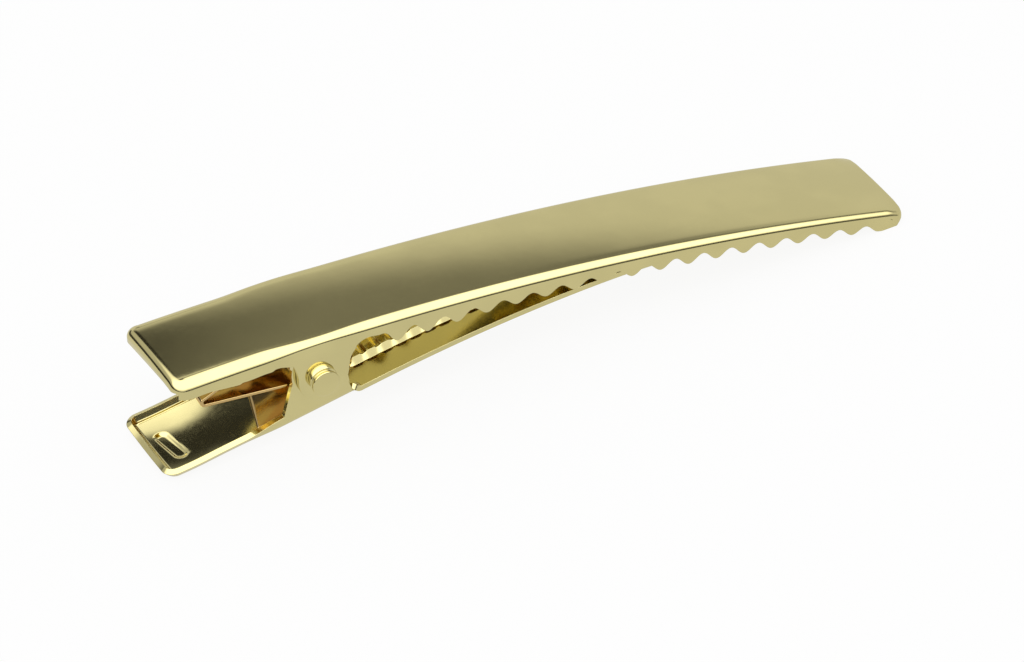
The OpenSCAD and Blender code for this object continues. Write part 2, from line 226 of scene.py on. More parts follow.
# Depth of the skirt below the arch, from the thumb end forward. The rows of slopes say where
# each smooth step starts and ends, and how much it adds.
thumb_level = -1.14 * mm
thumb_slopes = ((0.8 * mm, 2.6 * mm, 0.2 * mm), (4.55 * mm, 4.85 * mm, 0.13 * mm),
                (4.9 * mm, 6.9 * mm, 0.24 * mm), (6.9 * mm, 7.25 * mm, 0.18 * mm))
tip_depth, tip_slopes = 1.98 * mm, ((16 * mm, 26 * mm, -0.3 * mm), (30 * mm, jaw_l, -0.17 * mm))
valley_depth, valley_slopes = 1.14 * mm, ((24 * mm, 42 * mm, -0.17 * mm),)
teeth_start, teeth_full = 14.0 * mm, 15.6 * mm
ear_slope_x, ear_slope_h = 7.5 * mm, 0.16 * mm
notch_depth = 1.03 * mm
ear_back_x, ear_front_x = pin_x - 2.0 * mm, pin_x + 2.5 * mm
ear_low_r, ear_back_r, ear_front_r = 2.0 * mm, 1.6 * mm, 2.0 * mm
fillet_r = 1.35 * mm
fillet_c = (pin_x + 3.4 * mm, notch_depth + fillet_r)
nose_l, nose_depth = 0.8 * mm, 0.62 * mm


def sloping(x, value, slopes):
    """A value that changes by smooth steps along x."""
    for start, end, change in slopes:
        value = value + change * step(x, start, end)
    return value


def skirt_depth(x):
    """Shallow steps beside the thumb, the round corner ahead of the ear, then a cosine wave of
    teeth that is deepest by the hinge, and a round nose at the front."""
    thumb = arch_z(x) - sloping(x, thumb_level, thumb_slopes)
    thumb = thumb + ear_slope_h * step(x, ear_slope_x, ear_back_x)
    corner = fillet_c[1] - np.sqrt(np.clip(fillet_r ** 2 - (x - fillet_c[0]) ** 2, 0, None))
    wave = (1 + np.cos(2 * np.pi * np.maximum(jaw_l - tooth_setback - x, 0) / tooth_pitch)) / 2
    valley = sloping(x, valley_depth, valley_slopes)
    teeth = valley + (sloping(x, tip_depth, tip_slopes) - valley) * wave
    teeth = notch_depth + (teeth - notch_depth) * step(x, teeth_start, teeth_full)
    teeth = nose_depth + (teeth - nose_depth) * step(jaw_l - x, 0, nose_l)
    return np.where(x < pin_x, thumb, np.where(x < fillet_c[0], corner, teeth))


lip_tuck, shortest_wall = math.radians(12), 0.03 * mm
lip_z, lip_skew = -0.84 * mm, 0.075


def lip_foot(y):
    """Height of the lip's lower edge, which was cut a little askew."""
    return lip_z - lip_skew * y


skin = Sheet()
mid_w = half_w - thumb_corner_r
across = np.linspace(-mid_w, mid_w, 31)
corner_steps = 5
thumb_spacing, tooth_spacing, least_spacing = 0.16 * mm, 0.11 * mm, 0.05 * mm
front_x = jaw_l - front_corner_r * (1 - np.sin(np.linspace(0, np.pi / 2, 5)))
along_x = np.concatenate([
    np.arange(thumb_corner_r, ear_back_x - least_spacing, thumb_spacing),
    np.linspace(ear_back_x, ear_front_x, 33),
    np.arange(ear_front_x + 2 * least_spacing, front_x[0] - least_spacing, tooth_spacing), front_x])
# Where the bend starts follows from the slope there, and the slope from where it starts
slope = 0.06
for turn_again in range(3):
    edge_y = jaw_half(along_x) - bend_r(along_x) * (1 - np.sin(slope))
    slope = slope_along(jaw_face, along_x, -edge_y, (0, -1))
shares = np.linspace(0, 1, corner_steps + 1)
X, Y = np.meshgrid(along_x, across)
skin.patch(np.stack([X, Y, jaw_face(X, Y)], axis=-1))
Y = -mid_w - shares[:, None] * (edge_y - mid_w)
X = np.broadcast_to(along_x, Y.shape)
skin.both(np.stack([X, Y, jaw_face(X, Y)], axis=-1))
# Long bends and skirts; the ears take the place of the skirt beside the pin
low_z = arch_z(along_x) - skirt_depth(along_x)
edge_z = jaw_face(along_x, -edge_y)
side_r = bend_r(along_x)
wall = edge_z - side_r * np.cos(slope) - low_z
bends = 10
skirt = bent_edge(along_x, -edge_y, edge_z, (0, -1), slope, np.pi / 2, side_r, wall, bend_steps=bends)
beside = (along_x > ear_back_x - rounding) & (along_x < ear_front_x + rounding)
keep = np.ones((skirt.shape[0] - 1, skirt.shape[1] - 1), bool)
keep[bends:, beside[:-1] & beside[1:]] = False
skin.both(skirt, keep)
# The ear: down the column ahead of it, round the fillet and the ear, and up its back
first, last = np.flatnonzero(beside)[[0, -1]]
fall = np.linspace(math.asin((fillet_c[0] - ear_front_x) / fillet_r), np.pi / 2, 9)[1:]
round_x = [fillet_c[0] - fillet_r * np.sin(fall)]
round_z = [arch_z(pin_x) - fillet_c[1] + fillet_r * np.cos(fall)]
under = np.linspace(0, -np.pi, 41)
reach = np.where(np.cos(under) > 0, ear_front_r, ear_back_r)
round_x.append(pin_x + reach * np.cos(under))
round_z.append(pin_z + ear_low_r * np.sin(under))
rear = np.linspace(0, 1, 8)[1:-1]
round_x.append(round_x[-1][-1] + (skirt[-1, first, 0] - round_x[-1][-1]) * rear ** 1.5)
round_z.append(pin_z + (skirt[-1, first, 2] - pin_z) * rear)
column = slice(bends, None)
ear_x = np.concatenate([skirt[column, last, 0], *round_x, skirt[column, first, 0][::-1],
                        skirt[bends, first + 1:last, 0]])
ear_z = np.concatenate([skirt[column, last, 2], *round_z, skirt[column, first, 2][::-1],
                        skirt[bends, first + 1:last, 2]])
tight_fit = 0.01 * mm
skin.both(ring(ear_x, ear_z, -half_w, np.array([pin_x, pin_z]), pin_r + tight_fit), loop=True)
# The lip at the thumb end and its corners, slit where the lip meets the skirts
slit, slit_column, tuck_start = 3.4, 5, 48
turn = np.radians([0, 9, 18, 27, 36, 45 - slit, 45 + slit, 54, 63, 72, 81, 90])
out = (-np.sin(turn), -np.cos(turn))
tuck = np.pi / 2 + lip_tuck * step(turn, np.radians(tuck_start), np.pi / 2)
corner_r = side_r[0] + (bend_lip - side_r[0]) * turn / (np.pi / 2)
corner_slope = 0.1
for turn_again in range(3):
    spoke = thumb_corner_r - corner_r * (1 - np.sin(corner_slope))
    corner_x, corner_y = thumb_corner_r + spoke * out[0], -mid_w + spoke * out[1]
    corner_slope = slope_along(jaw_face, corner_x, corner_y, out)
spoke[0], corner_slope[0] = edge_y[0] - mid_w, slope[0]
corner_x, corner_y = thumb_corner_r + spoke * out[0], -mid_w + spoke * out[1]
X = thumb_corner_r + shares[:, None] * spoke * out[0]
Y = -mid_w + shares[:, None] * spoke * out[1]
skin.both(np.stack([X, Y, jaw_face(X, Y)], axis=-1))
lip_x = corner_x[-1]
X, Y = np.meshgrid(thumb_corner_r + shares * (lip_x - thumb_corner_r), across)
skin.patch(np.stack([X, Y, jaw_face(X, Y)], axis=-1))


def lip_wall(z, slope, radius, turn, foot):
    """Length of wall after a bend through turn that ends at the height foot."""
    drop = z - radius * (np.cos(slope) - np.cos(turn)) - foot
    return np.maximum(drop / np.sin(turn), shortest_wall)


corner_z = jaw_face(corner_x, corner_y)
keep = np.ones((bends + 2, turn.size - 1), bool)
keep[bends:, slit_column] = False
for side in (-1, 1):
    foot = np.where(turn < np.pi / 4, low_z[0], lip_foot(side * -corner_y))
    wall = lip_wall(corner_z, corner_slope, corner_r, tuck, foot)
    grid = bent_edge(corner_x, corner_y, corner_z, out, corner_slope, tuck, corner_r, wall)
    skin.patch(grid * [1, -side, 1], keep)
lip_top = jaw_face(lip_x, across)
wall = lip_wall(lip_top, corner_slope[-1], bend_lip, tuck[-1], lip_foot(across))
skin.patch(bent_edge(np.full(across.size, lip_x), across, lip_top, (-1, 0),
                     corner_slope[-1], tuck[-1], bend_lip, wall))
skin.points = [skewed(grid, 0) for grid in skin.points]
top = skin.piece("top_plate", sheet)


class Wire:
    """A socket of a shader, so that shader maths reads as an expression."""

    def __init__(self, tree, socket):
        self.tree, self.socket = tree, socket

    def node(self, kind, settings=(), pick=0, **values):
        """Adds a node of a kind: its settings first, then the values or links of its sockets.
        A socket goes by its name, or by its number after an i; pick says which output to use."""
        made = self.tree.nodes.new(kind)
        for name, value in dict(settings).items():
            setattr(made, name, value)
        for name, value in values.items():
            numbered = name[0] == "i" and name[1:].isdigit()
            plug = made.inputs[int(name[1:]) if numbered else name.replace("_", " ")]
            if isinstance(value, Wire):
                self.tree.links.new(value.socket, plug)
            else:
                plug.default_value = value
        return Wire(self.tree, made.outputs[pick])

    def math(self, operation, *values):
        numbered = {f"i{n}": value for n, value in enumerate(values)}
        return self.node("ShaderNodeMath", {"operation": operation}, **numbered)

    def __add__(self, other):
        return self.math("ADD", self, other)

    def __sub__(self, other):
        return self.math("SUBTRACT", self, other)

    def __rsub__(self, other):
        return self.math("SUBTRACT", other, self)

    def __mul__(self, other):
        return self.math("MULTIPLY", self, other)

    def __truediv__(self, other):
        return self.math("DIVIDE", self, other)

    __radd__, __rmul__ = __add__, __mul__

    def rise(self, start, end):
        """0 before start, 1 after end, smooth between them."""
        smooth = {"interpolation_type": "SMOOTHSTEP"}
        return self.node("ShaderNodeMapRange", smooth, i0=self, i1=start, i2=end)


def plated(name, colour, roughness, wave, wave_size):
    """Polished plate: a metal whose roughness and colour vary faintly, over a fine rolled grain
    and the slow waviness that pressing leaves in thin sheet. Scales are in waves per metre."""
    slow_scale, fine_scale = 260, 2600
    dull, bright, rougher = 0.97, 1.02, 0.03
    grain, grain_share = 0.002 * mm, 0.06
    material = bpy.data.materials.new(name)
    material.use_nodes = True
    tree = material.node_tree
    shader = tree.nodes["Principled BSDF"]
    shader.inputs["Metallic"].default_value = 1
    place = Wire(tree, tree.nodes.new("ShaderNodeTexCoord").outputs["Object"])
    slow = place.node("ShaderNodeTexNoise", Vector=place, Scale=slow_scale, Detail=2)
    fine = place.node("ShaderNodeTexNoise", Vector=place, Scale=fine_scale, Detail=3, Roughness=0.6)
    tone = place.node("ShaderNodeMix", {"data_type": "RGBA"}, pick=2, i0=slow.rise(0.35, 0.65),
                      i6=(*[c * dull for c in colour], 1),
                      i7=(*[min(1, c * bright) for c in colour], 1))
    tree.links.new(tone.socket, shader.inputs["Base Color"])
    tree.links.new((roughness + rougher * fine.rise(0.35, 0.8)).socket, shader.inputs["Roughness"])
    waves = place.node("ShaderNodeTexNoise", Vector=place, Scale=1 / wave_size, Detail=1)
    bump = place.node("ShaderNodeBump", Strength=1, Distance=wave, Height=waves)
    bump = place.node("ShaderNodeBump", Strength=grain_share, Distance=grain, Height=fine, Normal=bump)
    tree.links.new(bump.socket, shader.inputs["Normal"])
    return material


gold = (0.735, 0.652, 0.308)
plate = plated("gold_plate", gold, 0.09, 0.0015 * mm, 1.2 * mm)
top.data.materials.append(plate)
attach(top, "top")
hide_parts("top_jaw")

# ---- Lower jaw ----------------------------------------------------------------------------
# The lower jaw and its thumb lever, pressed from a second strip of the same sheet: a straight
# lever with a rolled-up rim and an oblong thumb mark, two ears on the pin, and a bowed arm
# whose raised rib is crimped across for grip.
side_gap = 0.08 * mm
low_half = half_w - sheet - side_gap
rim_r = 0.6 * mm
inner_r = rim_r - sheet
lever_corner_r = 0.95 * mm
arm_r, nose_r = 120 * mm, 65 * mm
arm_mid = math.radians(8.5)
close_gap = 0.06 * mm
low_r = arch_r - sheet - close_gap
pin_rise, lever_reach, arm_setback = 2.86 * mm, 11.9 * mm, 0.9 * mm
arch_c = np.array([jaw_l / 2, arch_rise - arch_r])


def on_circle(centre, radius, angle):
    """Point at an angle from upright on a circle in the side view."""
    return centre + radius * np.array([math.sin(angle), math.cos(angle)])


# The first circle ends at the angle that leaves the floor of the lever pin_rise under the pin
pin_arm = (pin_z - arch_c[1]) * math.cos(lever_angle) - (pin_x - arch_c[0]) * math.sin(lever_angle)
shift = (nose_r - arm_r) * math.cos(lever_angle - arm_mid) + arm_r
flat_a = math.acos((pin_arm - pin_rise - shift) / (low_r - nose_r)) - lever_angle
tip_a = math.asin((jaw_l - arm_setback - arch_c[0]) / low_r)
nose_c = on_circle(arch_c, low_r - nose_r, flat_a)
arm_c = on_circle(nose_c, nose_r - arm_r, -arm_mid)
heel = on_circle(arm_c, arm_r, -lever_angle)
arm_l = arm_r * (lever_angle - arm_mid)
nose_end = arm_l + nose_r * (arm_mid + flat_a)
tip_u = nose_end + low_r * (tip_a - flat_a)
from_heel = np.array([pin_x, pin_z]) - heel
pin_u = from_heel @ [math.cos(lever_angle), math.sin(lever_angle)]
pin_v = pin_rise
lever_l = lever_reach - pin_u


def along_strip(u, y, v):
    """Points of the strip from its flat pattern: u along its upper face from the heel, v above
    it. The face is straight behind the heel and follows three circles ahead of it."""
    angle = np.select([u < 0, u < arm_l, u < nose_end],
                      [-lever_angle + 0 * u, u / arm_r - lever_angle, (u - arm_l) / nose_r - arm_mid],
                      (u - nose_end) / low_r + flat_a)
    centre = np.select([(u < arm_l)[..., None], (u < nose_end)[..., None]],
                       [arm_c + 0 * u[..., None], nose_c + 0 * u[..., None]], arch_c)
    radius = np.select([u < arm_l, u < nose_end], [arm_r + 0 * u, nose_r + 0 * u], low_r)
    x = centre[..., 0] + (radius + v) * np.sin(angle) + np.minimum(u, 0) * np.cos(angle)
    z = centre[..., 1] + (radius + v) * np.cos(angle) - np.minimum(u, 0) * np.sin(angle)
    return np.stack([x, y + 0 * x, z], axis=-1)


rib_foot, rib_top, rib_h = 1.42 * mm, 1.15 * mm, 0.5 * mm
rib_u0, rib_u1, rib_end_l = -1.6 * mm, 17.5 * mm, 0.8 * mm
# Crimps: their pitch, depth, how far the crest draws in, and the share of the pitch they take
crimp, crimp_h, crimp_w, crimp_share = 1.09 * mm, 0.1 * mm, 0.1 * mm, 0.5
mark_u, mark_y, mark_l, mark_w = -lever_l + 1.7 * mm, -0.3 * mm, 2.9 * mm, 0.78 * mm
mark_h, mark_edge, mark_skew = 0.12 * mm, 0.32 * mm, 0.14
dish_r, dish_h = 28 * mm, 0.05 * mm
tail_r, tail_l = 28 * mm, 3.1 * mm
ear_u0, ear_u1 = pin_u - 3.1 * mm, pin_u + 1.87 * mm
dish_u0, dish_u1 = -lever_l + 3.5 * mm, ear_u0 - 0.4 * mm


def strip_face(u, y):
    """Height of the upper face over the strip: the rib with its crimps, the lever's shallow
    dish y^2 / 2r that rises again at the thumb end, and the thumb mark, a slot shape sunk
    behind a soft edge."""
    dent = np.clip(1 - abs(((u - rib_u0) / crimp) % 1 - 0.5) * 2 / crimp_share, 0, 1)
    ends = step(u, rib_u0, rib_u0 + rib_end_l) * (1 - step(u, rib_u1 - rib_end_l, rib_u1))
    crest = rib_top - crimp_w * dent
    flank = np.clip((rib_foot - abs(y)) / (rib_foot - crest), 0, 1)
    rib = ends * np.minimum(rib_h * flank, rib_h - crimp_h * dent)
    dish = (y ** 2 / (2 * dish_r) - dish_h) * (1 - step(u, dish_u0, dish_u1))
    dish = dish + np.clip(tail_l - lever_l - u, 0, None) ** 2 / (2 * tail_r)
    away, along = u - mark_u + mark_skew * (y - mark_y), abs(y - mark_y)
    past = np.clip(along - (mark_l - mark_w) / 2, 0, None)
    inside = mark_w / 2 - np.sqrt(away ** 2 + past ** 2)
    return rib + dish - mark_h * step(inside, -mark_edge / 2, mark_edge / 2)


heel_r = 0.6 * mm
heel_c = (pin_u + 2.4 * mm, heel_r)
arc_l = inner_r * np.pi / 2
flat_wall = rim_r - arc_l
tip_r = 0.5 * mm
# Columns of the mesh: fine at the thumb end and over the crimps, coarse where little happens
thumb_l, fine_spacing = 1.3 * mm, 0.06 * mm
u_cols = np.concatenate([
    -lever_l + lever_corner_r + np.arange(0, thumb_l, fine_spacing),
    np.linspace(-lever_l + lever_corner_r + thumb_l, ear_u0, 34),
    np.linspace(ear_u0, ear_u1, 60)[1:], np.linspace(ear_u1, rib_u1, 193)[1:],
    np.linspace(rib_u1, tip_u - tip_r, 56)[1:],
    tip_u - tip_r * (1 - np.sin(np.linspace(0, np.pi / 2, 5)))[1:]])


def width_share(u):
    """Share of the full width at u, which falls off at the rounded corners of the tip."""
    past = np.clip(u - (tip_u - tip_r), 0, tip_r)
    return 1 - (tip_r - np.sqrt(tip_r ** 2 - past ** 2)) / low_half


# The rim flares outwards at the thumb end and comes upright at the ears
flare_near, flare_far = math.radians(58), math.radians(69)
flare_wall, flare_w, flare_l = 0.4 * mm, 0.71 * mm, 3 * mm
upright = step(u_cols, ear_u0 - flare_l, ear_u0)
flat_half = low_half - flare_w + (flare_w - rim_r) * upright
floor_mid = low_half - lever_corner_r
strip_skin = Sheet()
rows = np.concatenate([np.linspace(0, rib_top, 19), np.linspace(rib_top, rib_foot, 8)[1:],
                       np.linspace(rib_foot, floor_mid, 12)[1:]])
rows = np.concatenate([-rows[:0:-1], rows])
shares = np.linspace(0, 1, 7)
narrow = width_share(u_cols)
U, Y = np.meshgrid(u_cols, rows)
strip_skin.patch(along_strip(U, Y * narrow, strip_face(U, Y)))
Y = -floor_mid - shares[:, None] * (flat_half - floor_mid) + 0 * u_cols
U = np.broadcast_to(u_cols, Y.shape)
strip_skin.both(along_strip(U, Y * narrow, strip_face(U, Y)))
# Rim and flat edge: the bend opens out from upright to flat just ahead of the ears
opening_l, rim_fall, least_rim, least_turn = 0.6 * mm, 0.04 * mm, 0.06 * mm, 1e-3
opening = step(u_cols, ear_u1, ear_u1 + opening_l)
ahead = u_cols > ear_u1 + rounding
heel_rise = heel_c[1] - np.sqrt(np.clip(heel_r ** 2 - (u_cols - heel_c[0]) ** 2, 0, None))
rim_wall = np.where(u_cols < pin_u, flare_wall - rim_fall * upright, heel_rise - inner_r)
wall = np.where(ahead, 0, np.clip(rim_wall, least_rim, None))
front_wall = wall[~ahead][-1]
wall = np.where(ahead, front_wall + (flat_wall - front_wall) * opening, wall)
edge_slope = -slope_along(strip_face, u_cols, -flat_half, (0, -1))
beside = (u_cols > ear_u0 - rounding) & (u_cols < ear_u1 + rounding)
rim_bends = 8
keep = np.ones((rim_bends + 1, u_cols.size - 1), bool)
keep[rim_bends:, beside[:-1] & beside[1:]] = False
for side, flare in ((1, flare_near), (-1, flare_far)):
    turn = (flare + (np.pi / 2 - flare) * upright) * (1 - opening) + least_turn
    edge = bent_edge(u_cols, -flat_half, strip_face(u_cols, -flat_half), (0, -1), edge_slope,
                     turn, np.where(ahead, arc_l / turn, inner_r), wall, up=1,
                     bend_steps=rim_bends, wall_steps=1)
    edge[..., 1] *= narrow
    strip_skin.patch(along_strip(edge[..., 0], edge[..., 1], edge[..., 2]) * [1, side, 1], keep)
# The ear: down the column ahead of it, round the heel and the ear, and down its back
first, last = np.flatnonzero(beside)[[0, -1]]
column = slice(rim_bends, None)
low_ear_r, ear_front, ear_back = 2.12 * mm, 1.95 * mm, 1.88 * mm
fall = np.linspace(math.asin((heel_c[0] - ear_u1) / heel_r), np.pi / 2, 6)[1:]
over = np.linspace(0, np.pi, 41)
foot = edge[-1, first]
down = np.linspace(0, 1, 9)[1:-1]
ear_u = np.concatenate([edge[column, last, 0], heel_c[0] - heel_r * np.sin(fall),
                        pin_u + np.where(over < np.pi / 2, ear_front, ear_back) * np.cos(over),
                        pin_u - ear_back + (foot[0] - pin_u + ear_back) * down,
                        edge[column, first, 0][::-1], edge[rim_bends, first + 1:last, 0]])
ear_v = np.concatenate([edge[column, last, 2], heel_c[1] - heel_r * np.cos(fall),
                        pin_v + low_ear_r * np.sin(over), pin_v + (foot[2] - pin_v) * down,
                        edge[column, first, 2][::-1], edge[rim_bends, first + 1:last, 2]])
running_fit = 0.05 * mm
flat_ear = ring(ear_u, ear_v, -low_half + sheet, np.array([pin_u, pin_v]), pin_r + running_fit)
U, Y, V = np.moveaxis(flat_ear, -1, 0)
lever_x = heel[0] + U * math.cos(lever_angle) - V * math.sin(lever_angle)
lever_z = heel[1] + U * math.sin(lever_angle) + V * math.cos(lever_angle)
strip_skin.both(np.stack([lever_x, Y, lever_z], axis=-1), loop=True)
# The thumb end of the lever: the same rim round both corners
turn = np.radians(np.linspace(0, 90, 13))
out = (-np.sin(turn), -np.cos(turn))
spoke = lever_corner_r - flare_w
corner_u = -lever_l + lever_corner_r + spoke * out[0]
corner_y = -floor_mid + spoke * out[1]
U = -lever_l + lever_corner_r + shares[:, None] * spoke * out[0]
Y = -floor_mid + shares[:, None] * spoke * out[1]
strip_skin.both(along_strip(U, Y, strip_face(U, Y)))
U, Y = np.meshgrid(-lever_l + lever_corner_r - shares * spoke, rows)
strip_skin.patch(along_strip(U, Y, strip_face(U, Y)))
rim = dict(radius=inner_r, wall=flare_wall, up=1, bend_steps=rim_bends, wall_steps=1)
corner_v = strip_face(corner_u, corner_y)
corner_slope = -slope_along(strip_face, corner_u, corner_y, out)
for side, flare in ((1, flare_near), (-1, flare_far)):
    corner = bent_edge(corner_u, corner_y, corner_v, out, corner_slope, flare, **rim)
    strip_skin.patch(along_strip(corner[..., 0], corner[..., 1], corner[..., 2]) * [1, side, 1])
end_u = np.full(rows.size, -lever_l + flare_w)
end_slope = -slope_along(strip_face, end_u, rows, (-1, 0))
end_flare = flare_near + (flare_far - flare_near) * (0.5 + rows / (2 * floor_mid))
end = bent_edge(end_u, rows, strip_face(end_u, rows), (-1, 0), end_slope, end_flare, **rim)
strip_skin.patch(along_strip(end[..., 0], end[..., 1], end[..., 2]))
lever_end = heel[0] - lever_l * math.cos(lever_angle)
strip_skin.points = [skewed(grid, lever_end) for grid in strip_skin.points]
lower = strip_skin.piece("lower_plate", sheet)
lower.data.materials.append(plate)
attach(lower, "lower")
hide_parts("lower_jaw")

# ---- Hinge pin ----------------------------------------------------------------------------
# A turned rivet through all four ears, upset at both ends: outside each ear stands a rounded
# head with one turned groove.
collar_r, collar_h, collar_edge = 0.97 * mm, 0.34 * mm, 0.06 * mm
groove_r, groove_end, groove_edge = 0.86 * mm, 0.44 * mm, 0.03 * mm
head_r, head_h, head_edge, head_dome = 0.95 * mm, 0.72 * mm, 0.12 * mm, 0.04 * mm
head_lean = np.array([0.08, 0, -0.3]) * mm
shank_l = 0.2 * mm


def pin_profile():
    """Radius against distance from the middle: the end of the shank, collar, groove and head,
    the edges of the collar and the head rounded by quarter circles, the head's face domed by a
    parabola."""
    quarter = np.linspace(0, np.pi / 2, 7)
    inward = np.linspace(0.9, 0, 6)
    reach = np.concatenate([[-shank_l, 0], collar_h - collar_edge + collar_edge * np.sin(quarter),
                            [collar_h + groove_edge, groove_end - groove_edge, groove_end,
                             groove_end + groove_edge],
                            head_h - head_edge + (head_edge - head_dome) * np.sin(quarter),
                            head_h - head_dome * inward ** 2])
    radius = np.concatenate([[pin_r, pin_r], collar_r - collar_edge + collar_edge * np.cos(quarter),
                             [groove_r, groove_r, groove_r + groove_edge, head_r],
                             head_r - head_edge + head_edge * np.cos(quarter),
                             (head_r - head_edge) * inward])
    return half_w + reach, radius


reach, radius = pin_profile()
spin = np.linspace(0, 2 * np.pi, 97)[:-1]
pin = Sheet()
turned = np.stack([pin_x + radius[:, None] * np.cos(spin), -reach[:, None] + 0 * spin,
                   pin_z + radius[:, None] * np.sin(spin)], axis=-1)
# The heads were upset a little off the axis, more so the further out
turned = turned + step(reach, half_w, half_w + groove_end)[:, None, None] * head_lean
pin.both(turned, loop=True)
shank = turned[[0, 0]] * [[[1, 1, 1]], [[1, -1, 1]]]
pin.patch(shank, loop=True)
rivet = pin.piece("rivet")
rivet.data.materials.append(plate)
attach(rivet, "top")
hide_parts("hinge_pin")

# ---- Leaf spring --------------------------------------------------------------------------
# A hairpin of flat spring steel, bent round the pin: the lower leg presses on the lever, the
# upper leg lies under the top jaw, then slopes down to a fold and comes back towards the pin.
leaf, leaf_w, leaf_edge_r, leaf_corner_r = 0.25 * mm, 5.8 * mm, 0.09 * mm, 0.6 * mm
leaf_gap, leaf_room, leaf_low_l = 0.04 * mm, 0.45 * mm, 4.2 * mm
leaf_askew = 0.25
leaf_tip_x = 2.4 * mm
leaf_low = leaf_gap + leaf / 2
roof = (float(arch_z(pin_x)) - sheet - pin_z) * math.cos(lever_angle) + pin_v
leaf_r = (roof - leaf_room - leaf / 2 - leaf_low) / 2
leaf_c = along_strip(np.array(pin_u), 0, leaf_low + leaf_r)[[0, 2]]
leaf_tip = np.array([leaf_tip_x, float(arch_z(leaf_tip_x)) - sheet - leaf_gap - leaf / 2])
gap = leaf_c - leaf_tip
leaf_a = math.atan2(gap[1], gap[0]) + math.asin(leaf_r / np.hypot(*gap))
# Each row: a straight run, then the radius and the angle of the bend that ends it, 0 at an end
upper_runs = [(3.4 * mm, 2.2 * mm, math.radians(27)),
              (3.95 * mm, 0.26 * mm, math.radians(150.5)), (6.9 * mm, 1, 0)]
lower_runs = [(0, leaf_r, math.pi + leaf_a - lever_angle), (leaf_low_l, 1, 0)]


def walk(place, heading, runs, side):
    """Points and headings along straight runs and bends; side is 1 for bends to the left."""
    run_points = 16
    way, ways = [], []
    for length, radius, angle in runs:
        ahead = np.array([math.cos(heading), math.sin(heading)])
        left = side * np.array([-ahead[1], ahead[0]])
        way.append(place + np.linspace(0, length, run_points)[:, None] * ahead)
        ways.append(np.full(run_points, heading))
        bend = np.linspace(0, angle, 2 + int(angle * run_points))[:, None]
        way.append(way[-1][-1] + radius * (np.sin(bend) * ahead + (1 - np.cos(bend)) * left))
        ways.append(heading + side * bend[:, 0])
        place, heading = way[-1][-1], ways[-1][-1]
    way, ways = np.concatenate(way), np.concatenate(ways)
    moved = np.append(True, np.linalg.norm(np.diff(way, axis=0), axis=1) > 0.001 * mm)
    return way[moved], ways[moved]


over_pin = leaf_c + leaf_r * np.array([-math.sin(leaf_a), math.cos(leaf_a)])
upper, upper_way = walk(over_pin, math.pi + leaf_a, upper_runs, 1)
under, under_way = walk(over_pin, leaf_a, lower_runs, -1)
line = np.concatenate([upper[:0:-1], under])
way = np.concatenate([upper_way[:0:-1] + math.pi, under_way])
normal = np.stack([-np.sin(way), np.cos(way)], axis=-1)
legs = np.append(0, np.cumsum(np.linalg.norm(np.diff(line, axis=0), axis=1)))
past = np.clip(leaf_corner_r - legs, 0, None)
half_leaf = leaf_w / 2 - leaf_corner_r + np.sqrt(np.clip(leaf_corner_r ** 2 - past ** 2, 0, None))
# The strand that comes back is narrow: its far edge lies nearer, by tongue times half the width
tongue, tongue_u0, tongue_u1 = 1.35, legs[-1] * 0.33, legs[-1] * 0.56
far_edge = half_leaf * (1 - tongue * (1 - step(legs, tongue_u0, tongue_u1)))
# The cross-section is a rectangle with round edges, run through from its upper far edge
quarter = np.linspace(0, np.pi / 2, 5)
across_edge = np.concatenate([np.cos(quarter), -np.sin(quarter), -np.cos(quarter), np.sin(quarter)])
up_edge = np.concatenate([np.sin(quarter), np.cos(quarter), -np.sin(quarter), -np.cos(quarter)])
far = np.repeat([True, False, False, True], quarter.size)
upper_side = np.repeat([1, 1, -1, -1], quarter.size)
Y = np.where(far, far_edge[:, None] - leaf_edge_r, leaf_edge_r - half_leaf[:, None])
Y = Y + leaf_edge_r * across_edge[None, :]
V = upper_side * (leaf / 2 - leaf_edge_r) + leaf_edge_r * up_edge
strip = np.stack([line[:, None, 0] + V * normal[:, None, 0], Y,
                  line[:, None, 1] + V * normal[:, None, 1]], axis=-1)
# The end of the lower leg is cut askew
lean = leaf_askew * Y * step(legs, legs[-1] - leaf_low_l, legs[-1])[:, None]
strip = strip + lean[..., None] * [math.cos(lever_angle), 0, math.sin(lever_angle)]
spring_skin = Sheet()
spring_skin.patch(strip, loop=True)
for end_row in (strip[0], strip[-1]):
    middle = np.broadcast_to(end_row.mean(0), end_row.shape)
    spring_skin.patch(np.stack([end_row, middle]), loop=True)
spring = spring_skin.piece("hairpin_leaf")
# The leaf's base colour is a darker amber than the plate's: painted shade of the hollow under the top
# jaw where it lies
spring.data.materials.append(plated("spring_painted_shade", (0.64, 0.45, 0.19), 0.13, 0.002 * mm, 0.8 * mm))
# A point blend_drop below the top of the bend over the pin, for where the leaf would pass from the top
# jaw to the lower; nothing in this script uses it
blend_drop, blend_lean = 5.0 * mm, 1.1 * mm
blend_end = over_pin + [blend_lean, -blend_drop]
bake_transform(spring)
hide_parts("leaf_spring")

# ---- Floor, light and camera --------------------------------------------------------------
# A plain pale floor under a soft studio: one broad soft light over the camera's side, a darker
# strip behind it, and a pale wall low at the back.
floor_w = 6
floor_mesh = bpy.data.meshes.new("floor")
corners = [(-floor_w / 2, -floor_w / 2, 0), (floor_w / 2, -floor_w / 2, 0),
           (floor_w / 2, floor_w / 2, 0), (-floor_w / 2, floor_w / 2, 0)]
floor_mesh.from_pydata(corners, [], [(0, 1, 2, 3)])
floor = bpy.data.objects.new("floor", floor_mesh)
bpy.context.scene.collection.objects.link(floor)
paint = bpy.data.materials.new("pale_floor")
paint.use_nodes = True
tree = paint.node_tree
tree.nodes.remove(tree.nodes["Principled BSDF"])
ray = tree.nodes.new("ShaderNodeLightPath")
seen, gloss, through = (Wire(tree, ray.outputs[name]) for name in
                        ("Is Camera Ray", "Is Glossy Ray", "Is Transmission Ray"))
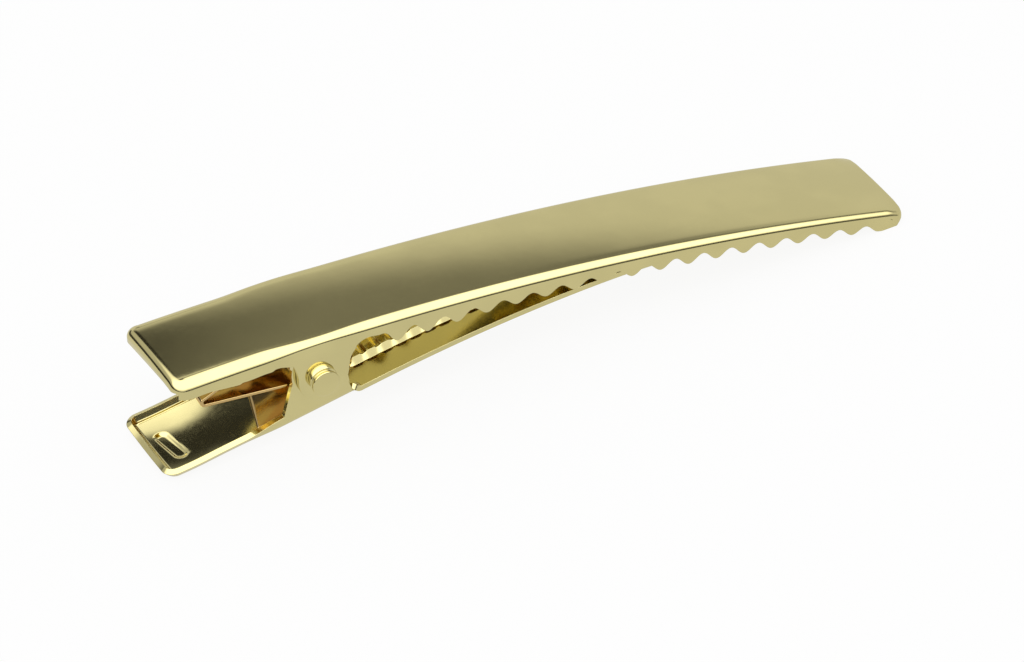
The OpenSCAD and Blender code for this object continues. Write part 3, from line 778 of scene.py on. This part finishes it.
# White where it is seen and a little darker in the metal; the share of matt paint that is left
# carries the clip's soft shadow
white_share, glow_in_metal = 0.9, 0.72
matt = seen.node("ShaderNodeBsdfDiffuse", Color=(0.92, 0.92, 0.915, 1))
strength = seen + glow_in_metal * (gloss + through)
glow = seen.node("ShaderNodeEmission", Color=(1, 1, 1, 1), Strength=strength)
mixed = seen.node("ShaderNodeMixShader", i0=white_share * (seen + gloss + through), i1=matt, i2=glow)
tree.links.new(mixed.socket, tree.nodes["Material Output"].inputs["Surface"])
floor_mesh.materials.append(paint)

world = bpy.data.worlds.new("studio")
bpy.context.scene.world = world
world.use_nodes = True
tree = world.node_tree
axes = tree.nodes.new("ShaderNodeSeparateXYZ")
tree.links.new(tree.nodes.new("ShaderNodeTexCoord").outputs["Generated"], axes.inputs[0])
east, north, upward = (Wire(tree, axes.outputs[n]) for n in range(3))
# What the metal reflects, by direction: height is the angle over the horizon in degrees, and
# away and side are 1 straight behind the clip and to its east
height = upward.math("ARCSINE", upward) * math.degrees(1)
level = upward.math("SQRT", upward.math("MAXIMUM", 1 - upward * upward, 1e-6))
away_east, away_north = 0.436, 0.9
away = (east * away_east + north * away_north) / level
side = east / level
# The softbox hangs over the clip: its lower edge is higher behind the clip, and it shines
# brighter well above that edge
edge_height, edge_tilt = 27.5, 21.5
above = height - (edge_height + edge_tilt * away)
softbox = above.rise(-1.5, 2.5)
shine = 0.9 + 0.4 * height.rise(10, 30) + 0.8 * above.rise(3, 14) * height.rise(10, 30)
# Under it stand a low pale wall in the east, with the dark strip over it, and in the west a wall
# that is dark below and grey above; the room on the camera's side is dark
pale, near_side = 0.7, 0.1
dark = 0.03 + 0.19 * side.rise(0.2, 0.45)
east_wall = dark + (pale - dark) * (1 - height.rise(26.5, 36))
west_wall = 0.05 + 0.5 * height.rise(16, 21)
walls = east_wall + (1 - side.rise(-0.25, -0.1)) * (west_wall - east_wall)
room = walls + (1 - away.rise(-0.5, 0)) * (near_side - walls)
studio = room + (shine - room) * softbox
ray = tree.nodes.new("ShaderNodeLightPath")
gloss = Wire(tree, ray.outputs["Is Glossy Ray"])
seen = Wire(tree, ray.outputs["Is Camera Ray"])
fill = 0.85
strength = fill + (1 - fill) * seen + gloss * (studio - fill)
backdrop = tree.nodes["Background"]
backdrop.inputs["Color"].default_value = (1, 1, 1, 1)
tree.links.new(strength.socket, backdrop.inputs["Strength"])

lamp = bpy.data.lights.new("softbox", "AREA")
lamp.shape, lamp.size, lamp.energy = "DISK", 0.5, 0.8
lamp_object = bpy.data.objects.new("softbox", lamp)
lamp_object.location = (-0.15, -0.3, 0.6)
lamp_object.rotation_euler = (math.radians(26), 0, math.radians(-26))
lamp_object.visible_glossy = False
bpy.context.scene.collection.objects.link(lamp_object)

aim = np.array([-1.7774, -1.8729, 1.1638]) * mm
azimuth, elevation, roll = math.radians(-24.68), math.radians(38.421), math.radians(-4.014)
distance = 249.01 * mm
# Out of the scene towards the camera, then to its right and up, rolled about the first
outward = np.array([math.sin(azimuth) * math.cos(elevation),
                    -math.cos(azimuth) * math.cos(elevation), math.sin(elevation)])
level_right = np.array([math.cos(azimuth), math.sin(azimuth), 0])
level_up = np.cross(outward, level_right)
right = math.cos(roll) * level_right + math.sin(roll) * level_up
up = np.cross(outward, right)
view = np.eye(4)
view[:3] = np.stack([right, up, outward, aim + distance * outward], axis=1)
lens = bpy.data.cameras.new("camera")
lens.lens, lens.sensor_width, lens.clip_start = 130.19, 36, 0.01
camera = bpy.data.objects.new("camera", lens)
camera.matrix_world = Matrix(view.tolist())
bpy.context.scene.collection.objects.link(camera)
bpy.context.scene.camera = camera
bpy.context.scene.view_settings.view_transform = "Standard"
bpy.context.scene.cycles.glossy_bounces = 10
